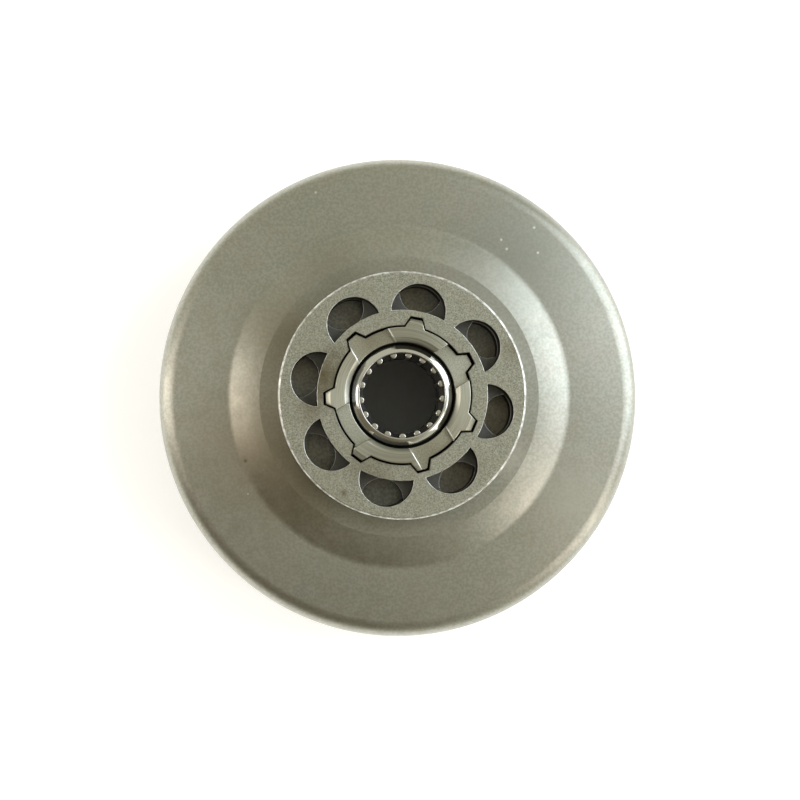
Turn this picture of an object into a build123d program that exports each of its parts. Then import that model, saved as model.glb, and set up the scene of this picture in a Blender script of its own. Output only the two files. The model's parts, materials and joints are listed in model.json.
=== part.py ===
from build123d import *
import math
import os

# A chainsaw clutch drum with a floating rim sprocket on its splined hub. All sizes are in millimetres.
# The drum stands on its mouth with the hub up: +Z is its axis, and the origin is the centre of the mouth.

# Clutch drum, pressed from sheet
drum_diameter = 78.0
drum_height = 21.0
drum_wall = 2.6
web_thickness = 2.8
outer_corner_radius = 2.55
inner_corner_radius = 1.6
mouth_chamfer = 0.4
boss_base_diameter = 55.3
boss_top_diameter = 45.4
boss_rise = 1.2
boss_crown = 0.13

# Splined hub, put in from inside the drum
spline_teeth = 7
spline_root_diameter = 21.6
spline_tip_diameter = 24.4
tooth_base_width = 3.06
tooth_tip_width = 1.82
first_tooth_angle = 28.2
collar_diameter = 26.0
flange_diameter = 32.0
flange_thickness = 2.4
lug_stand_out = 0.9
lug_inner_chamfer = 0.68
tooth_end_chamfer = 0.7
drive_slot_width = 6.5
drive_slot_depth = 2.1
drive_slot_angle = 30.5
lead_in_step = 0.45
lead_in_depth = 1.6

# Rim sprocket, floating on the spline
rim_diameter = 39.5
rim_thickness = 10.5
rim_edge_chamfer = 0.3
pocket_count = 8
first_pocket_angle = 34.2
core_wall = 1.05
window_radius = 4.31
window_rail_width = 1.84
pocket_radius = 3.4
pocket_undercut = 0.1
pocket_flare_angle = 22.0
tooth_tip_depth = 0.75
groove_width = 2.2
spline_root_clearance = 0.25
spline_tip_clearance = 0.35
spline_side_clearance = 0.18

# Needle bearing, a drawn cup with caged rollers
journal_diameter = 12.0
needle_diameter = 1.2
needle_length = 11.9
needle_count = 17
first_needle_angle = 17.0
needle_clearance = 0.02
cup_wall = 0.78
cup_lip_thickness = 0.8
cup_lip_reach = 0.42
cup_lip_chamfer = 0.25
cup_bend_radius = 0.12
cup_stand_above_slots = 0.4
cage_sheet = 0.37
cage_raceway_gap = 0.1
cage_journal_gap = 0.08
cage_end_ring = 0.55
cage_end_gap = 0.1
cage_ring_length = 1.6
cage_slope_length = 0.9
cage_pocket_end_gap = 0.05

# Radii that follow from those sizes
drum_radius = drum_diameter / 2
friction_radius = drum_radius - drum_wall
boss_base_radius = boss_base_diameter / 2
boss_top_radius = boss_top_diameter / 2
collar_radius = collar_diameter / 2
root_radius = spline_root_diameter / 2
tip_radius = spline_tip_diameter / 2
rim_radius = rim_diameter / 2
core_radius = tip_radius + spline_tip_clearance + core_wall
window_centre_radius = rim_radius - window_rail_width - window_radius
journal_radius = journal_diameter / 2
needle_radius = needle_diameter / 2
needle_pitch_radius = journal_radius + needle_radius
raceway_radius = journal_radius + needle_diameter + needle_clearance
cup_radius = raceway_radius + cup_wall
cup_lip_radius = raceway_radius - cup_lip_reach

# Heights that follow from those sizes
web_underside = drum_height - web_thickness
boss_top = drum_height + boss_rise
boss_underside = boss_top - web_thickness
hub_bottom = boss_underside - flange_thickness
rim_face = boss_top + rim_thickness
lug_top = rim_face + lug_stand_out
slot_floor = lug_top - drive_slot_depth
cup_top = slot_floor + cup_stand_above_slots
needle_pocket_length = needle_length + 2 * cage_pocket_end_gap
cage_length = needle_pocket_length + 2 * cage_end_ring
cup_length = cage_length + 2 * (cage_end_gap + cup_lip_thickness)
cup_bottom = cup_top - cup_length
cage_bottom = cup_bottom + cup_lip_thickness + cage_end_gap
cage_top = cage_bottom + cage_length
needle_middle = (cage_bottom + cage_top) / 2


def turned(profile):
    """A solid of revolution about Z, from a profile drawn with radius as X and height as Y."""
    return revolve(Plane.XZ * profile, Axis.Z)


def outline(*points):
    """A flat face with straight sides through these points."""
    return make_face(Polyline(*points, close=True))


def corner(profile, radius, height):
    """The corner of a profile that lies at this radius and height."""
    return profile.vertices().sort_by_distance((radius, height, 0))[0]


def clutch_drum():
    """The pressed cup: wall, web, and a low round boss that the web rises to under the sprocket."""
    outside = [
        Line((collar_radius, boss_top), (boss_top_radius, boss_top)),
        SagittaArc((boss_top_radius, boss_top), (boss_base_radius, drum_height), boss_crown),
        Polyline((boss_base_radius, drum_height), (drum_radius, drum_height), (drum_radius, 0)),
    ]
    mouth = Line((drum_radius, 0), (friction_radius, 0))
    inside = [
        Polyline((friction_radius, 0), (friction_radius, web_underside), (boss_base_radius, web_underside)),
        SagittaArc((boss_base_radius, web_underside), (boss_top_radius, boss_underside), -boss_crown),
        Line((boss_top_radius, boss_underside), (collar_radius, boss_underside)),
    ]
    hole = Line((collar_radius, boss_underside), (collar_radius, boss_top))
    profile = make_face([*outside, mouth, *inside, hole])
    profile = fillet(corner(profile, drum_radius, drum_height), outer_corner_radius)
    profile = fillet(corner(profile, friction_radius, web_underside), inner_corner_radius)
    profile = chamfer(corner(profile, drum_radius, 0), mouth_chamfer)
    profile = chamfer(corner(profile, friction_radius, 0), mouth_chamfer)
    return turned(profile)


def spline_section(root, tip, side_clearance):
    """The spline's cross-section: a round core with straight-flanked teeth, each side widened by a clearance."""
    flank_slope = (tooth_base_width - tooth_tip_width) / 2 / (tip_radius - root_radius)
    widening = side_clearance * math.hypot(1, flank_slope)
    foot = root - (tip - root)
    half_tip = tooth_tip_width / 2 + (tip_radius - tip) * flank_slope + widening
    half_foot = tooth_tip_width / 2 + (tip_radius - foot) * flank_slope + widening
    tooth = outline((foot, -half_foot), (tip, -half_tip), (tip, half_tip), (foot, half_foot))
    section = Circle(root)
    for place in PolarLocations(0, spline_teeth, first_tooth_angle):
        section += place * tooth
    return section


def splined_hub():
    """The hub: inner flange, collar through the web, spline, and four lugs left by two crossing drive slots."""
    flange = Pos(0, 0, hub_bottom) * extrude(Circle(flange_diameter / 2), flange_thickness)
    collar = Pos(0, 0, boss_underside) * extrude(Circle(collar_radius), web_thickness)
    spline = Pos(0, 0, boss_top) * extrude(spline_section(root_radius, tip_radius, 0), lug_top - boss_top)
    lead_in_radius = cup_radius + lead_in_step
    lead_in_floor = cup_top - lead_in_depth
    bore = outline(
        (0, hub_bottom),
        (cup_radius, hub_bottom),
        (cup_radius, lead_in_floor - lead_in_step),
        (lead_in_radius, lead_in_floor),
        (lead_in_radius, lug_top - lug_inner_chamfer),
        (lead_in_radius + lug_inner_chamfer, lug_top),
        (0, lug_top),
    )
    tooth_ends = outline(
        (tip_radius - tooth_end_chamfer, lug_top),
        (tip_radius + tooth_end_chamfer, lug_top),
        (tip_radius + tooth_end_chamfer, lug_top - 2 * tooth_end_chamfer),
    )
    hub = flange + collar + spline - turned(bore) - turned(tooth_ends)
    slot = extrude(Rectangle(2 * flange_diameter, drive_slot_width), drive_slot_depth)
    for angle in (drive_slot_angle, drive_slot_angle + 90):
        hub -= Pos(0, 0, slot_floor) * Rot(0, 0, angle) * slot
    return hub


def drive_link_pocket():
    """The outline of one chain pocket: a round floor with flared sides, open past the tooth tips."""
    flare = math.radians(pocket_flare_angle)
    centre = core_radius - pocket_undercut + pocket_radius
    start = centre - pocket_radius * math.sin(flare)
    half_start = pocket_radius * math.cos(flare)
    half_end = half_start + (rim_radius - start) * math.tan(flare)
    mouth = outline((start, -half_start), (rim_radius, -half_end), (rim_radius, half_end), (start, half_start))
    return Pos(centre, 0) * Circle(pocket_radius) + mouth


def rim_sprocket():
    """The floating rim: two rails with D-shaped windows, and between them the teeth that drive the chain."""
    bore = spline_section(
        root_radius + spline_root_clearance,
        tip_radius + spline_tip_clearance,
        spline_side_clearance,
    )
    window = Pos(window_centre_radius, 0) * Circle(window_radius) - Circle(core_radius)
    pocket = drive_link_pocket()
    rail = Circle(rim_radius) - bore
    teeth = Circle(rim_radius - tooth_tip_depth) - bore
    for place in PolarLocations(0, pocket_count, first_pocket_angle):
        rail -= place * window
        teeth -= place * pocket
    rail_thickness = (rim_thickness - groove_width) / 2
    rim = Pos(0, 0, boss_top) * extrude(rail, rail_thickness)
    rim += Pos(0, 0, boss_top + rail_thickness) * extrude(teeth, groove_width)
    rim += Pos(0, 0, rim_face - rail_thickness) * extrude(rail, rail_thickness)
    rail_edges = rim.edges().filter_by(GeomType.CIRCLE).group_by(SortBy.RADIUS)[-1]
    return chamfer(rail_edges, rim_edge_chamfer)


def bearing_cup():
    """The drawn cup: a thin shell whose two ends are turned in as rounded lips around the raceway."""
    profile = outline(
        (cup_lip_radius, cup_bottom),
        (cup_radius, cup_bottom),
        (cup_radius, cup_top),
        (cup_lip_radius, cup_top),
        (cup_lip_radius, cup_top - cup_lip_thickness),
        (raceway_radius, cup_top - cup_lip_thickness),
        (raceway_radius, cup_bottom + cup_lip_thickness),
        (cup_lip_radius, cup_bottom + cup_lip_thickness),
    )
    for height in (cup_bottom, cup_top):
        profile = fillet(corner(profile, cup_radius, height), cup_wall + cup_bend_radius)
        profile = chamfer(corner(profile, cup_lip_radius, height), cup_lip_chamfer)
    return turned(profile)


def needle_cage():
    """The cage: end rings near the raceway, bars bent in towards the journal, and a pocket for each needle."""
    ring_outside = raceway_radius - cage_raceway_gap
    bar_outside = journal_radius + cage_journal_gap + cage_sheet
    bend = cage_ring_length + cage_slope_length
    outside = [
        (ring_outside, cage_bottom),
        (ring_outside, cage_bottom + cage_ring_length),
        (bar_outside, cage_bottom + bend),
        (bar_outside, cage_top - bend),
        (ring_outside, cage_top - cage_ring_length),
        (ring_outside, cage_top),
    ]
    inside = [(radius - cage_sheet, height) for radius, height in reversed(outside)]
    cage = turned(outline(*outside, *inside))
    pocket = Cylinder(needle_radius + needle_clearance, needle_pocket_length)
    for place in PolarLocations(needle_pitch_radius, needle_count, first_needle_angle):
        cage -= Pos(0, 0, needle_middle) * place * pocket
    return cage


def needle_rollers():
    """The needles by name, evenly spaced around the cage."""
    roller = Cylinder(needle_radius, needle_length)
    places = PolarLocations(needle_pitch_radius, needle_count, first_needle_angle)
    return {
        f"needle_roller_{number:02d}": Pos(0, 0, needle_middle) * place * roller
        for number, place in enumerate(places, start=1)
    }


nodes = {
    "clutch_drum": clutch_drum(),
    "splined_hub": splined_hub(),
    "rim_sprocket": rim_sprocket(),
    "bearing_cup": bearing_cup(),
    "needle_cage": needle_cage(),
    **needle_rollers(),
}

os.makedirs("parts", exist_ok=True)
for name, solid in nodes.items():
    export_step(solid, f"parts/{name}.step")
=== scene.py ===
import bmesh
import bpy
import json
import math
from mathutils import Matrix, Vector


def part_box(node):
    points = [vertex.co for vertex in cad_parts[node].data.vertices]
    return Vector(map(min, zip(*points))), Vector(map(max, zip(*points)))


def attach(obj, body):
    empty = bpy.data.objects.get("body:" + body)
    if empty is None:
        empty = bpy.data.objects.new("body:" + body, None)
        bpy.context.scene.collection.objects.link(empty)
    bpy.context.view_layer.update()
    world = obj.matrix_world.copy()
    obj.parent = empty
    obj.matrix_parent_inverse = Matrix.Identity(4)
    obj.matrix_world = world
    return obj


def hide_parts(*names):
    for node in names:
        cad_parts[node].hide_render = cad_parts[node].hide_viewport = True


# The looks of a chainsaw clutch drum with a floating rim sprocket on its splined hub.
# Sizes are in millimetres until a mesh is made, and +Z is the drum's axis, as in the frame.
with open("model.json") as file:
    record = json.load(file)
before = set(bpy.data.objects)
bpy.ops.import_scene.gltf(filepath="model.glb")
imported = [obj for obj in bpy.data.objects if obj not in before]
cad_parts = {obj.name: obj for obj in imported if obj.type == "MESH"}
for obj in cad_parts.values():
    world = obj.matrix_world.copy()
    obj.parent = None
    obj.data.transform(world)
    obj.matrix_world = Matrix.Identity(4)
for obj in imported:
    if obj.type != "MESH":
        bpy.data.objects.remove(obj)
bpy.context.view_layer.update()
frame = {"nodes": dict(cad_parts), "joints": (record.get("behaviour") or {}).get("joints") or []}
MM = 0.001

# Sizes taken from the frame
drum_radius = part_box("clutch_drum")[1].x / MM
boss_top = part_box("clutch_drum")[1].z / MM
rim_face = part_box("rim_sprocket")[1].z / MM
rim_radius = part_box("rim_sprocket")[1].x / MM
lug_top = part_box("splined_hub")[1].z / MM
cup_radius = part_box("bearing_cup")[1].x / MM
cup_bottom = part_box("bearing_cup")[0].z / MM
cup_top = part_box("bearing_cup")[1].z / MM
needle_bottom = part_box("needle_roller_01")[0].z / MM
needle_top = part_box("needle_roller_01")[1].z / MM

# Sizes of the pressed drum
drum_wall = 2.6
web_thickness = 2.8
outer_corner_radius = 2.55
inner_corner_radius = 1.6
mouth_round = 0.35
boss_base_radius = 27.65
boss_top_radius = 22.7
boss_rise = 1.2
boss_crown = 0.13
boss_base_round = 3.0
boss_edge_round = 0.7
collar_radius = 13.0
friction_radius = drum_radius - drum_wall
web_face = boss_top - boss_rise
web_underside = web_face - web_thickness

# Sizes of the hub, the rim and the bearing
drive_slot_depth = 2.1
drive_slot_width = 6.5
drive_slot_angle = math.radians(30.5)
slot_floor = lug_top - drive_slot_depth
root_radius = 10.8
lead_in_radius = 8.45
spline_bore_radius = 12.55
hub_edge_round = 0.16
rim_edge_round = 0.1
raceway_radius = 7.22
cup_lip_radius = 6.8
cup_lip_thickness = 0.8
cup_bend = 0.9
cup_lip_round = 0.1
cup_lip_flat = 0.17
cup_lip_drop = 0.52
cup_lip_crown = 0.09
needle_radius = 0.6
needle_end_round = 0.22

# Dust and a pit on the drum's face, by X and Y
dust_places = [
    (22.1, 27.7), (22.7, 23.6), (16.7, 25.7), (17.6, 24.2), (17.7, 18.7), (-13.6, 33.3), (-11.2, 23.2),
]
pit_place = (-24.9, -10.4)

# Brown and pale patches on the drum's face, partly its oil film and partly painted shade (the darker ones)
# and painted light (the pale ones): place, reach, strength and colour
film_light_and_shade_patches = [
    ((-22.0, -9.0), 17, 0.7, (0.21, 0.174, 0.111)),
    ((-18.5, 10.0), 9, 0.7, (0.19, 0.165, 0.106)),
    ((-15.0, -14.0), 9, 0.6, (0.165, 0.134, 0.088)),
    ((-11.0, 19.5), 8, 0.5, (0.19, 0.184, 0.138)),
    ((21.0, 23.0), 16, 0.7, (0.21, 0.217, 0.18)),
    ((17.8, -9.8), 4.6, 0.9, (0.43, 0.415, 0.36)),
    ((28.5, -16.0), 9, 0.6, (0.36, 0.35, 0.3)),
]

# Brown patches and a rust streak on the rim's face, partly stains and partly painted shade beside and below
# the hub: place, reach and strength
stains_and_shade = [
    ((-12.7, 3.2), 4.4, 1.0),
    ((-11.0, 6.6), 2.6, 0.5),
    ((-3.6, -12.6), 3.6, 0.45),
    ((-9.3, -15.5), 0.8, 0.8),
    ((18.4, 7.4), 3.4, 0.5),
    ((-14.6, -2.4), 2.8, 0.5),
    ((-14.0, 0.3), 3.2, 0.75),
    ((-6.8, -12.0), 3.0, 0.4),
    ((11.6, -11.4), 3.0, 0.25),
]

# Painted shade and a painted brown reflection on the floors of two drive slots, next to the lug walls: place,
# reach and strength
slot_shade = [((-5.0, 8.6), 3.0, 0.4), ((5.0, -8.6), 3.0, 0.25)]

# Fineness of the meshes
lathe_segments = 288
needle_segments = 40
floor_segments = 96
round_steps = 6
slope_steps = 10
bevel_steps = 3
smooth_angle = math.radians(28)
sharp_angle = math.radians(33)

# Limits for cleaning and rounding the copies of CAD nodes
merge_distance = 0.02
flat_angle = math.radians(0.3)
shortest_edge = 0.2
shortest_hub_round = 0.4
shortest_rim_round = 0.1
upright_share = 0.7
level_share = 0.9995
slope_range = (0.15, 0.98)
normal_weight = 50

# Points of a turned mesh that are closer than this, in metres, are one point
seam_distance = 1e-8

# How far the lights stand off, in metres, and the power of a light to its radiance and area
light_distance = 0.6
light_factor = 4

# The floor, in metres, and the share of white that it shows to the eye by itself
floor_radius = 3.0
floor_height = -0.05 * MM
floor_glow = 0.44


def rounded_profile(corners):
    """A closed profile: each corner is (radius, height, rounding), and a rounding becomes a tangent arc."""
    line = []
    for index, (radius, height, rounding) in enumerate(corners):
        corner = Vector((radius, height))
        if not rounding:
            line.append(corner)
            continue
        before = (Vector(corners[index - 1][:2]) - corner).normalized()
        after = (Vector(corners[(index + 1) % len(corners)][:2]) - corner).normalized()
        half = before.angle(after) / 2
        centre = corner + (before + after).normalized() * rounding / math.sin(half)
        start = corner + before * rounding / math.tan(half) - centre
        end = corner + after * rounding / math.tan(half) - centre
        sweep = -start.angle_signed(end)
        for step in range(round_steps + 1):
            line.append(centre + Matrix.Rotation(sweep * step / round_steps, 2) @ start)
    return line


def crowned_slope(start, end, crown):
    """Profile corners along a shallow arc between two points, without its ends."""
    first = Vector(start)
    run = Vector(end) - first
    side = Vector((-run.y, run.x)).normalized()
    corners = []
    for step in range(1, slope_steps):
        share = step / slope_steps
        point = first + run * share + side * crown * 4 * share * (1 - share)
        corners.append((point.x, point.y, 0))
    return corners


def smooth_piece(name, mesh):
    """A new object in the scene, smooth apart from its sharp edges."""
    mesh.shade_smooth()
    mesh.set_sharp_from_angle(angle=smooth_angle)
    piece = bpy.data.objects.new(name, mesh)
    bpy.context.scene.collection.objects.link(piece)
    return piece


def turned_mesh(name, profile, segments):
    """A mesh of revolution about Z from a closed profile of radius and height."""
    corners = []
    faces = []
    count = len(profile)
    for step in range(segments):
        turn = 2 * math.pi * step / segments
        there = (step + 1) % segments * count
        for point, (radius, height) in enumerate(profile):
            following = (point + 1) % count
            corners.append((radius * math.cos(turn) * MM, radius * math.sin(turn) * MM, height * MM))
            faces.append((step * count + following, there + following, there + point, step * count + point))
    mesh = bpy.data.meshes.new(name)
    mesh.from_pydata(corners, [], faces)
    work = bmesh.new()
    work.from_mesh(mesh)
    bmesh.ops.remove_doubles(work, verts=work.verts, dist=seam_distance)
    bmesh.ops.recalc_face_normals(work, faces=work.faces)
    work.to_mesh(mesh)
    work.free()
    return mesh


def finished_mesh(piece):
    """The mesh that a piece's modifiers make."""
    return bpy.data.meshes.new_from_object(piece.evaluated_get(bpy.context.evaluated_depsgraph_get()))


def rounded_copy(node, name, width, shortest, hollows):
    """A copy of a CAD node whose sharp edges are rounded, apart from upright and short ones.

    The hollow edges are rounded too where that is asked. The roundings take the second material.
    """
    mesh = frame["nodes"][node].data.copy()
    mesh.materials.clear()
    mesh.attributes.remove(mesh.attributes["custom_normal"])
    mesh.shade_smooth()
    work = bmesh.new()
    work.from_mesh(mesh)
    bmesh.ops.remove_doubles(work, verts=work.verts, dist=merge_distance * MM)
    bmesh.ops.dissolve_limit(work, angle_limit=flat_angle, verts=work.verts, edges=work.edges)
    short = {edge for edge in work.edges if edge.calc_length() < shortest_edge * MM}
    lone = [edge for edge in short if not any(short.intersection(v.link_edges) - {edge} for v in edge.verts)]
    bmesh.ops.collapse(work, edges=lone)
    rounded_edge = work.edges.layers.float.new("bevel_weight_edge")
    for edge in work.edges:
        run = edge.verts[1].co - edge.verts[0].co
        lies_flat = abs(run.z) < upright_share * run.length
        is_sharp = edge.calc_face_angle() > sharp_angle and (hollows or edge.is_convex)
        if lies_flat and is_sharp and run.length > shortest * MM:
            edge[rounded_edge] = 1
    work.to_mesh(mesh)
    work.free()
    piece = bpy.data.objects.new(name, mesh)
    bpy.context.scene.collection.objects.link(piece)
    bevel = piece.modifiers.new("rounding", "BEVEL")
    bevel.limit_method = "WEIGHT"
    bevel.width = width * MM
    bevel.segments = bevel_steps
    bevel.material = 1
    bevel.use_clamp_overlap = False
    bevel.loop_slide = False
    piece.data = finished_mesh(piece)
    piece.data.set_sharp_from_angle(angle=sharp_angle)
    piece.modifiers.clear()
    weighted = piece.modifiers.new("normals", "WEIGHTED_NORMAL")
    weighted.weight = normal_weight
    weighted.keep_sharp = True
    piece.data = finished_mesh(piece)
    piece.modifiers.clear()
    normals = [corner.vector.copy() for corner in piece.data.corner_normals]
    for face in piece.data.polygons:
        if abs(face.normal.z) > level_share:
            for corner in face.loop_indices:
                normals[corner] = face.normal
    piece.data.normals_split_custom_set(normals)
    return piece


def wear_slopes(piece):
    """Gives the second material to every face that is neither flat nor upright, such as a chamfer."""
    for face in piece.data.polygons:
        if slope_range[0] < abs(face.normal.z) < slope_range[1]:
            face.material_index = 1


def dress(piece, node, body, slot, *finishes):
    """Gives a piece its finishes, and puts it in place of its CAD node on that node's body."""
    for finish in finishes:
        piece.data.materials.append(finish)
    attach(piece, body)
    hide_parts(node)


class Shading:
    """A node tree, with short calls that add a node and return its output."""

    def __init__(self, tree):
        self.nodes = tree.nodes
        self.links = tree.links

    def put(self, socket, value):
        """Sets a socket to a plain value, or joins another node's output to it."""
        if isinstance(value, bpy.types.NodeSocket):
            self.links.new(value, socket)
        else:
            socket.default_value = value

    def add(self, kind, inputs, output=0, **settings):
        """A new node of this kind, and the output asked for."""
        node = self.nodes.new("ShaderNode" + kind)
        for name, setting in settings.items():
            setattr(node, name, setting)
        for name, value in inputs.items():
            self.put(node.inputs[name], value)
        return node.outputs[output]

    def maths(self, operation, first, second):
        return self.add("Math", {0: first, 1: second}, operation=operation)

    def fit(self, value, low, high, to_low=0.0, to_high=1.0, **settings):
        """The value's range from low to high, mapped to another range and held inside it."""
        ends = {"From Min": low, "From Max": high, "To Min": to_low, "To Max": to_high}
        return self.add("MapRange", {"Value": value, **ends}, **settings)

    def blend(self, factor, first, second):
        """Two colours mixed, each a plain colour or a node's output."""
        colours = [c if isinstance(c, bpy.types.NodeSocket) else (*c, 1) for c in (first, second)]
        return self.add("MixRGB", {"Fac": factor, "Color1": colours[0], "Color2": colours[1]})


class Finish(Shading):
    """One material's nodes, with its places in millimetres."""

    def __init__(self, name, colour, roughness, metallic=1.0):
        self.material = bpy.data.materials.new(name)
        self.material.use_nodes = True
        super().__init__(self.material.node_tree)
        self.shader = self.nodes["Principled BSDF"]
        self.put(self.shader.inputs["Base Color"], (*colour, 1))
        self.put(self.shader.inputs["Roughness"], roughness)
        self.put(self.shader.inputs["Metallic"], metallic)
        coordinates = self.nodes.new("ShaderNodeTexCoord").outputs
        upward = self.add("SeparateXYZ", {"Vector": coordinates["Normal"]}, "Z")
        self.tilt = self.maths("ABSOLUTE", upward, 0)
        metres = coordinates["Object"]
        self.place = self.add("VectorMath", {"Vector": metres, "Scale": 1 / MM}, operation="SCALE")
        flat = self.add("VectorMath", {0: self.place, 1: (1, 1, 0)}, operation="MULTIPLY")
        self.radius = self.add("VectorMath", {"Vector": flat}, "Value", operation="LENGTH")
        self.height = self.add("SeparateXYZ", {"Vector": self.place}, "Z")

    def noise(self, scale, detail, place=None):
        """Noise with this many waves to the millimetre."""
        return self.add("TexNoise", {"Vector": place or self.place, "Scale": scale, "Detail": detail})

    def rings(self, across, along):
        """A place that changes fast with the radius and slowly along the rings, for turning marks."""
        stretched = self.add("VectorMath", {0: self.place, 1: (along, along, along)}, operation="MULTIPLY")
        spoke = self.add("CombineXYZ", {"X": self.maths("MULTIPLY", self.radius, across)})
        return self.add("VectorMath", {0: stretched, 1: spoke}, operation="ADD")

    def spot(self, centre, reach, ragged=0.0):
        """1 at a place on the piece, falling to 0 at this reach, with an edge as ragged as asked."""
        distance = self.add("VectorMath", {0: self.place, 1: centre}, "Value", operation="DISTANCE")
        rough = self.maths("MULTIPLY", self.noise(1.6, 4), ragged)
        return self.fit(self.maths("ADD", distance, rough), reach + ragged / 2, ragged / 2)

    def specks(self, spacing, size, share):
        """1 on small round specks, about this far apart, on this share of the cells."""
        node = self.nodes.new("ShaderNodeTexVoronoi")
        self.put(node.inputs["Vector"], self.place)
        self.put(node.inputs["Scale"], 1 / spacing)
        full_share = 0.6
        dot = self.fit(node.outputs["Distance"], size / spacing, size / spacing * full_share)
        chosen = self.maths("LESS_THAN", self.add("SeparateColor", {"Color": node.outputs["Color"]}), share)
        return self.maths("MULTIPLY", dot, chosen)

    def colour(self, value):
        self.put(self.shader.inputs["Base Color"], value)

    def roughness(self, value):
        self.put(self.shader.inputs["Roughness"], value)

    def relief(self, height, depth):
        """Bump of this depth in millimetres."""
        self.put(self.shader.inputs["Normal"], self.add("Bump", {"Height": height, "Distance": depth * MM}))

    def brushed_round(self, amount):
        """Fine turning marks all round the axis, which stretch a highlight along the radius."""
        quarter_turn = 0.25
        tangent = self.add("Tangent", {}, direction_type="RADIAL", axis="Z")
        self.put(self.shader.inputs["Tangent"], tangent)
        self.put(self.shader.inputs["Anisotropic"], amount)
        self.put(self.shader.inputs["Anisotropic Rotation"], quarter_turn)


def drum_steel():
    """Satin pressed steel with an oil film, faint patches, fine speckle, a little dust and a honed bore. Its
    darker patches are partly painted shade and its pale ones painted light, and the boss top under the rim
    has painted shade.
    """
    steel = Finish("drum_steel", (0.265, 0.266, 0.225), 0.36)
    patches = steel.noise(0.07, 3)
    mottle = steel.noise(0.5, 4)
    speckle = steel.noise(2.2, 4)
    film_light_and_shade = steel.blend(steel.fit(patches, 0.35, 0.65), (0.262, 0.268, 0.222), (0.293, 0.287, 0.241))
    film_light_and_shade = steel.blend(steel.fit(mottle, 0.3, 0.7, 0.0, 0.3), film_light_and_shade, (0.222, 0.227, 0.19))
    film_light_and_shade = steel.blend(steel.fit(steel.noise(0.3, 5), 0.38, 0.62, 0.0, 0.35), film_light_and_shade, (0.285, 0.255, 0.21))
    film_light_and_shade = steel.blend(steel.fit(speckle, 0.4, 0.6, 0.0, 0.55), film_light_and_shade, (0.36, 0.352, 0.302))
    # Patches of oil film that also carry painted shade and painted light
    for place, reach, strength, tint in film_light_and_shade_patches:
        covered = steel.maths("MULTIPLY", steel.spot((*place, web_face), reach, 4), strength)
        film_light_and_shade = steel.blend(covered, film_light_and_shade, tint)
    dust = steel.specks(5.0, 0.13, 0.1)
    for place in dust_places:
        dust = steel.maths("MAXIMUM", dust, steel.spot((*place, web_face), 0.28))
    film_light_and_shade = steel.blend(dust, film_light_and_shade, (0.62, 0.61, 0.55))
    film_light_and_shade = steel.blend(steel.specks(7.5, 0.16, 0.08), film_light_and_shade, (0.08, 0.07, 0.055))
    film_light_and_shade = steel.blend(steel.spot((*pit_place, web_face), 0.45, 0.2), film_light_and_shade, (0.05, 0.045, 0.035))
    # Painted shade on the boss top under the rim, where the rim's shadow falls
    rim_shade = steel.blend(steel.fit(patches, 0.4, 0.6), (0.2, 0.178, 0.138), (0.245, 0.252, 0.236))
    rim_shade = steel.blend(steel.fit(speckle, 0.38, 0.62, 0.0, 0.5), rim_shade, (0.09, 0.09, 0.078))
    under_rim = steel.fit(steel.radius, rim_radius, rim_radius - 0.5)
    under_rim = steel.maths("MULTIPLY", under_rim, steel.fit(steel.height, boss_top - 1.0, boss_top - 0.5))
    film_light_and_shade = steel.blend(under_rim, film_light_and_shade, rim_shade)
    along_bore = steel.add("VectorMath", {0: steel.place, 1: (0.15, 0.15, 5.0)}, operation="MULTIPLY")
    honing = steel.fit(steel.noise(1.0, 4, along_bore), 0.35, 0.65)
    honed = steel.blend(honing, (0.25, 0.25, 0.225), (0.4, 0.395, 0.365))
    friction_bore = steel.fit(steel.radius, friction_radius + 0.3, friction_radius + 0.1)
    corner_end = web_underside - inner_corner_radius
    below_corner = steel.fit(steel.height, corner_end, corner_end - 0.4)
    steel.colour(steel.blend(steel.maths("MULTIPLY", friction_bore, below_corner), film_light_and_shade, honed))
    steel.roughness(steel.fit(mottle, 0.3, 0.7, 0.33, 0.4))
    turning = steel.noise(1.0, 2, steel.rings(3.2, 0.05))
    steel.relief(steel.maths("ADD", steel.maths("MULTIPLY", turning, 0.5), speckle), 0.003)
    steel.brushed_round(0.4)
    return steel.material


def rim_recess(steel, start, end):
    """0 on the rim's face and outer side, rising to 1 further in, between two depths below the face."""
    below = steel.fit(steel.height, rim_face - start, rim_face - end)
    return steel.maths("MULTIPLY", below, steel.fit(steel.radius, rim_radius - 0.05, rim_radius - 0.6))


def rim_steel():
    """Tumbled steel: matt, with a sandy grain, brown stains and painted shade near the hub, a small rust
    streak, and painted shade in the recesses, darkest on upright walls.
    """
    steel = Finish("rim_steel", (0.28, 0.275, 0.2), 0.5)
    grain = steel.noise(5.0, 3)
    patches = steel.noise(0.22, 3)
    tone = steel.blend(steel.fit(grain, 0.36, 0.64), (0.17, 0.168, 0.127), (0.348, 0.345, 0.285))
    tone = steel.blend(steel.fit(patches, 0.35, 0.7, 0.0, 0.35), tone, (0.25, 0.236, 0.175))
    # Brown patches: stains, and painted shade beside and below the hub
    for place, reach, strength in stains_and_shade:
        brown_patch = steel.spot((*place, rim_face), reach, reach / 2)
        tone = steel.blend(steel.maths("MULTIPLY", brown_patch, strength), tone, (0.105, 0.088, 0.05))
    # Painted shade inside the windows and groove, darker still on upright walls
    shade = steel.blend(steel.noise(0.5, 4), (0.07, 0.066, 0.055), (0.15, 0.15, 0.14))
    shade = steel.blend(steel.fit(steel.tilt, 0.6, 0.3), shade, (0.035, 0.034, 0.03))
    steel.colour(steel.blend(rim_recess(steel, 0.15, 0.6), tone, shade))
    steel.roughness(steel.fit(grain, 0.3, 0.7, 0.55, 0.42))
    steel.relief(grain, 0.009)
    return steel.material


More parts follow.
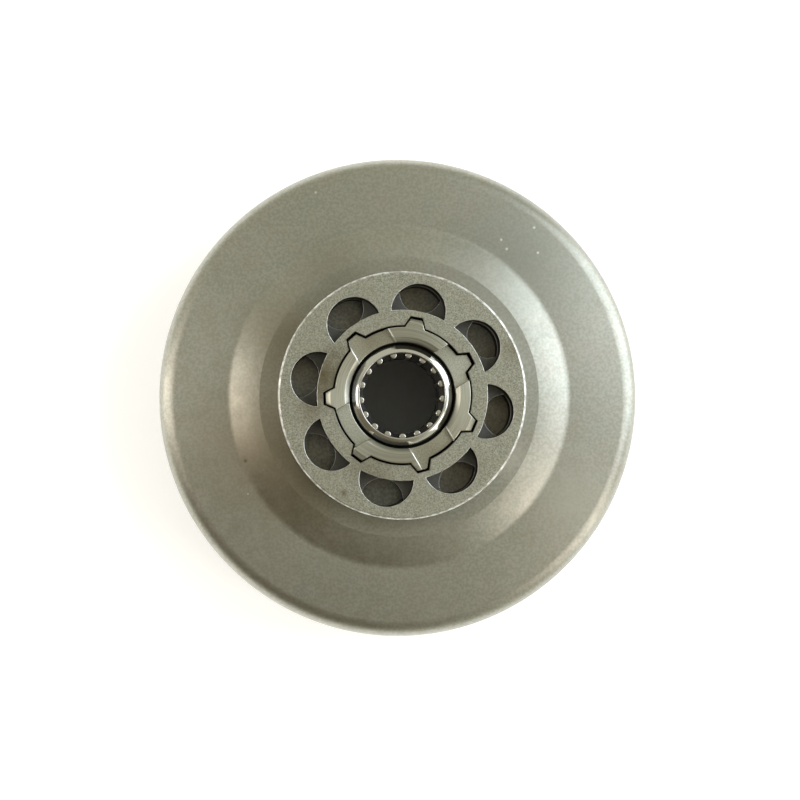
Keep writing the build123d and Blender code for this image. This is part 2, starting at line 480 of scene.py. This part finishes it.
def worn_edge():
    """Burnished edges of the rim: bright and broken by nicks, with painted shade that dulls them in the
    recesses and round the spline.
    """
    steel = Finish("worn_edge", (0.6, 0.59, 0.54), 0.36)
    nicks = steel.noise(1.1, 5)
    bright = steel.blend(steel.fit(nicks, 0.4, 0.58), (0.265, 0.26, 0.223), (0.495, 0.495, 0.46))
    # Painted shade on the edges in the recesses and round the spline bore
    edge = steel.blend(rim_recess(steel, 0.5, 0.8), bright, (0.2, 0.2, 0.19))
    inside = steel.fit(steel.radius, spline_bore_radius + 0.5, spline_bore_radius + 0.2)
    steel.colour(steel.blend(inside, edge, (0.13, 0.125, 0.1)))
    steel.relief(steel.noise(2.5, 3), 0.035)
    return steel.material


def hub_steel():
    """Machined steel: turning marks on the lugs, milling marks on the slot floors, a painted highlight along
    one drive slot, and painted shade on two slot floors, the sides and the bore.
    """
    steel = Finish("hub_steel", (0.29, 0.285, 0.22), 0.38)
    turning = steel.noise(1.0, 3, steel.rings(7.0, 0.25))
    milling = steel.noise(4.0, 3)
    on_lug = steel.maths("GREATER_THAN", steel.height, lug_top - drive_slot_depth / 2)
    marks = steel.add("Mix", {"Factor": on_lug, "A": milling, "B": turning})
    tone = steel.blend(steel.fit(marks, 0.34, 0.66), (0.262, 0.257, 0.203), (0.372, 0.367, 0.302))
    # Painted brown shade on two slot floors
    for place, reach, strength in slot_shade:
        brown_patch = steel.spot((*place, slot_floor), reach, reach / 2)
        brown_patch = steel.maths("MULTIPLY", brown_patch, steel.maths("SUBTRACT", strength, on_lug))
        tone = steel.blend(brown_patch, tone, (0.16, 0.125, 0.07))
    # Painted shade in the bore, at half strength
    bore = steel.fit(steel.radius, lead_in_radius + 0.06, lead_in_radius + 0.02)
    tone = steel.blend(steel.maths("MULTIPLY", bore, 0.5), tone, (0.06, 0.058, 0.05))

    # A painted highlight on the lugs: a bright strip along both edges of one drive slot
    drive_way = (math.cos(drive_slot_angle), math.sin(drive_slot_angle), 0)
    across = steel.add("VectorMath", {0: steel.place, 1: drive_way}, "Value", operation="DOT_PRODUCT")
    from_slot = steel.maths("SUBTRACT", steel.maths("ABSOLUTE", across, 0), drive_slot_width / 2)
    edge_highlight = steel.maths("MULTIPLY", steel.fit(from_slot, hub_edge_round + 0.12, hub_edge_round + 0.04), on_lug)
    tone = steel.blend(edge_highlight, tone, (0.6, 0.595, 0.55))

    # Painted shade on the sides above the web, between the hub and the rim, and deep in the bore, but not on
    # the slot floors
    below = steel.fit(steel.height, lug_top - 1.0, lug_top - 1.4)
    outside = steel.maths("GREATER_THAN", steel.radius, root_radius - 0.05)
    from_floor = steel.maths("ABSOLUTE", steel.maths("SUBTRACT", steel.height, slot_floor), 0)
    on_floor = steel.maths("MULTIPLY", steel.fit(from_floor, 0.12, 0.06), steel.fit(steel.tilt, 0.3, 0.6))
    sides = steel.maths("MULTIPLY", below, steel.maths("SUBTRACT", 1.0, on_floor))
    sides = steel.maths("MULTIPLY", sides, steel.fit(steel.height, web_face - 1.0, web_face))
    deep = steel.maths("MULTIPLY", bore, below)
    painted_shade = steel.maths("MAXIMUM", steel.maths("MULTIPLY", sides, outside), deep)
    steel.colour(steel.blend(painted_shade, tone, (0.11, 0.108, 0.097)))
    steel.roughness(steel.fit(marks, 0.3, 0.7, 0.42, 0.34))
    steel.relief(marks, 0.0016)
    steel.brushed_round(0.55)
    return steel.material


def hub_edge():
    """Clean machined edges of the hub."""
    steel = Finish("hub_edge", (0.82, 0.81, 0.75), 0.28)
    steel.relief(steel.noise(2.0, 3), 0.01)
    return steel.material


def polished_steel():
    """The bearing cup's polished lip, with a trace of handling marks."""
    steel = Finish("polished_steel", (0.5, 0.495, 0.46), 0.1)
    smears = steel.noise(0.8, 4)
    steel.roughness(steel.fit(smears, 0.35, 0.7, 0.07, 0.16))
    steel.relief(steel.noise(1.2, 2), 0.003)
    return steel.material


def needle_steel():
    """Ground needles with polished ends."""
    steel = Finish("needle_steel", (0.42, 0.41, 0.37), 0.14)
    steel.roughness(steel.fit(steel.noise(1.5, 3), 0.35, 0.7, 0.1, 0.2))
    return steel.material


def cage_steel():
    """The needle cage's dark phosphate coat."""
    steel = Finish("cage_steel", (0.1, 0.098, 0.09), 0.5)
    steel.colour(steel.blend(steel.noise(2.5, 3), (0.08, 0.08, 0.074), (0.14, 0.135, 0.125)))
    steel.relief(steel.noise(6.0, 2), 0.004)
    return steel.material


def clutch_drum():
    """The pressed cup, with the low boss that its web rises to under the rim."""
    boss_underside = boss_top - web_thickness
    outer_top = (boss_top_radius, boss_top)
    outer_base = (boss_base_radius, web_face)
    inner_base = (boss_base_radius, web_underside)
    inner_top = (boss_top_radius, boss_underside)
    profile = rounded_profile([
        (collar_radius, boss_top, 0),
        (*outer_top, boss_edge_round),
        *crowned_slope(outer_top, outer_base, boss_crown),
        (*outer_base, boss_base_round),
        (drum_radius, web_face, outer_corner_radius),
        (drum_radius, 0, mouth_round),
        (friction_radius, 0, mouth_round),
        (friction_radius, web_underside, inner_corner_radius),
        (*inner_base, 0),
        *crowned_slope(inner_base, inner_top, -boss_crown),
        (*inner_top, 0),
        (collar_radius, boss_underside, 0),
    ])
    return smooth_piece("drum_shell", turned_mesh("drum_shell", profile, lathe_segments))


def bearing_cup():
    """The drawn cup, whose ends are turned in. The upper lip falls away outwards in a shallow round."""
    lip_outside = (cup_radius, cup_top - cup_lip_drop)
    lip_crest = (cup_lip_radius + cup_lip_flat, cup_top)
    profile = rounded_profile([
        (cup_lip_radius, cup_bottom, cup_lip_round),
        (cup_radius, cup_bottom, cup_bend),
        (*lip_outside, cup_lip_round),
        *crowned_slope(lip_outside, lip_crest, -cup_lip_crown),
        (*lip_crest, 0),
        (cup_lip_radius, cup_top, cup_lip_round),
        (cup_lip_radius, cup_top - cup_lip_thickness, cup_lip_round),
        (raceway_radius, cup_top - cup_lip_thickness, 0),
        (raceway_radius, cup_bottom + cup_lip_thickness, 0),
        (cup_lip_radius, cup_bottom + cup_lip_thickness, cup_lip_round),
    ])
    return smooth_piece("bearing_shell", turned_mesh("bearing_shell", profile, lathe_segments))


def needle_mesh():
    """One needle about its own middle, with rounded ends."""
    half = (needle_top - needle_bottom) / 2
    profile = rounded_profile([
        (0, half, 0),
        (needle_radius, half, needle_end_round),
        (needle_radius, -half, needle_end_round),
        (0, -half, 0),
    ])
    return turned_mesh("needle", profile, needle_segments)


def floor():
    """A pale floor that shows white to the eye and in the metal, and keeps the drum's shadow."""
    middle = (0, 0, floor_height)
    bpy.ops.mesh.primitive_circle_add(
        vertices=floor_segments, radius=floor_radius, fill_type="NGON", location=middle)
    ground = bpy.context.object
    ground.name = "floor"
    paper = Finish("floor_paper", (0.8, 0.8, 0.8), 0.9, metallic=0.0)
    rays = paper.nodes.new("ShaderNodeLightPath").outputs
    seen = paper.maths("MULTIPLY", rays["Is Camera Ray"], floor_glow)
    seen = paper.maths("ADD", seen, rays["Is Glossy Ray"])
    seen = paper.maths("ADD", seen, rays["Is Transmission Ray"])
    outside = paper.maths("GREATER_THAN", paper.radius, drum_radius - drum_wall / 2)
    paper.put(paper.shader.inputs["Emission Color"], (1, 1, 1, 1))
    paper.put(paper.shader.inputs["Emission Strength"], paper.maths("MULTIPLY", seen, outside))
    ground.data.materials.append(paper.material)


def direction(azimuth, elevation):
    """The direction at this azimuth from +X and this elevation, in degrees."""
    turn = math.radians(azimuth)
    rise = math.radians(elevation)
    return Vector((math.cos(turn) * math.cos(rise), math.sin(turn) * math.cos(rise), math.sin(rise)))


def soft_light(name, azimuth, elevation, size, radiance, colour):
    """A rectangular soft light that faces the drum, with its width and height in metres."""
    light = bpy.data.lights.new(name, "AREA")
    light.shape = "RECTANGLE"
    light.size = size[0]
    light.size_y = size[1]
    light.energy = radiance * light_factor * size[0] * size[1]
    light.color = colour
    lamp = bpy.data.objects.new(name, light)
    bpy.context.scene.collection.objects.link(lamp)
    towards = direction(azimuth, elevation)
    lamp.location = towards * light_distance
    lamp.rotation_euler = towards.to_track_quat("Z", "Y").to_euler()
    lamp.visible_camera = False


def surroundings():
    """A soft studio: a grey world, cool lights at the right, and narrow warm ones at lower right and left."""
    world = bpy.data.worlds.new("studio")
    bpy.context.scene.world = world
    world.use_nodes = True
    sky = Shading(world.node_tree)
    towards = sky.add("TexCoord", {}, "Generated")
    dark_way = direction(235, 45)
    facing = sky.add("VectorMath", {0: towards, 1: dark_way}, "Value", operation="DOT_PRODUCT")
    shade = sky.fit(facing, 0.55, 0.95, interpolation_type="SMOOTHSTEP")
    grey = sky.blend(shade, (0.8, 0.795, 0.66), (0.25, 0.215, 0.145))
    height = sky.add("SeparateXYZ", {"Vector": towards}, "Z")
    low = sky.fit(height, 0.4, 0.0, interpolation_type="SMOOTHSTEP")
    sky.put(sky.nodes["Background"].inputs["Color"], sky.blend(low, grey, (1.0, 1.0, 0.93)))
    soft_light("key", 18, 27, (0.5, 0.72), 2.95, (0.8, 0.88, 1.02))
    soft_light("key_top", 25, 64, (0.17, 0.16), 3.0, (0.8, 0.88, 1.02))
    soft_light("fill", 328, 36, (0.16, 0.65), 2.0, (1.0, 0.93, 0.91))
    soft_light("strip", 178, 34, (0.17, 0.76), 2.7, (1.0, 0.94, 0.92))


def camera():
    """The photograph's view: nearly straight down on the hub's end, through a long lens."""
    camera_distance = 440
    lens_mm = 124.9
    sensor_mm = 36
    nearest_metres = 0.01
    towards_camera = Vector((-0.0484, -0.0248, 1)).normalized()
    aim = Vector((0.27, -0.43, web_face - outer_corner_radius)) * MM
    seen_from = Vector((0, 0, rim_face * MM)) + towards_camera * camera_distance * MM
    data = bpy.data.cameras.new("camera")
    data.lens = lens_mm
    data.sensor_width = sensor_mm
    data.clip_start = nearest_metres
    eye = bpy.data.objects.new("camera", data)
    bpy.context.scene.collection.objects.link(eye)
    back = (seen_from - aim).normalized()
    right = Vector((0, 1, 0)).cross(back).normalized()
    axes = Matrix((right, back.cross(right), back)).transposed()
    eye.matrix_world = Matrix.Translation(seen_from) @ axes.to_4x4()
    bpy.context.scene.camera = eye


dress(clutch_drum(), "clutch_drum", "drum", "drum_steel", drum_steel())
hub = rounded_copy("splined_hub", "hub", hub_edge_round, shortest_hub_round, hollows=True)
dress(hub, "splined_hub", "drum", "hub_steel", hub_steel(), hub_edge())
rim = rounded_copy("rim_sprocket", "rim", rim_edge_round, shortest_rim_round, hollows=False)
wear_slopes(rim)
dress(rim, "rim_sprocket", "rim", "rim_steel", rim_steel(), worn_edge())
dress(bearing_cup(), "bearing_cup", "drum", "bearing_steel", polished_steel())

needle_finish = needle_steel()
for joint in frame["joints"]:
    if joint["child"].startswith("roller_"):
        number = joint["child"][-2:]
        node = "needle_roller_" + number
        needle = smooth_piece("needle_" + number, needle_mesh())
        needle.location = sum(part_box(node), Vector()) / 2
        dress(needle, node, joint["child"], "needle_steel", needle_finish)

cage = frame["nodes"]["needle_cage"]
cage.data.materials.clear()
cage.data.materials.append(cage_steel())

floor()
surroundings()
camera()
bpy.context.scene.view_settings.view_transform = "Standard"
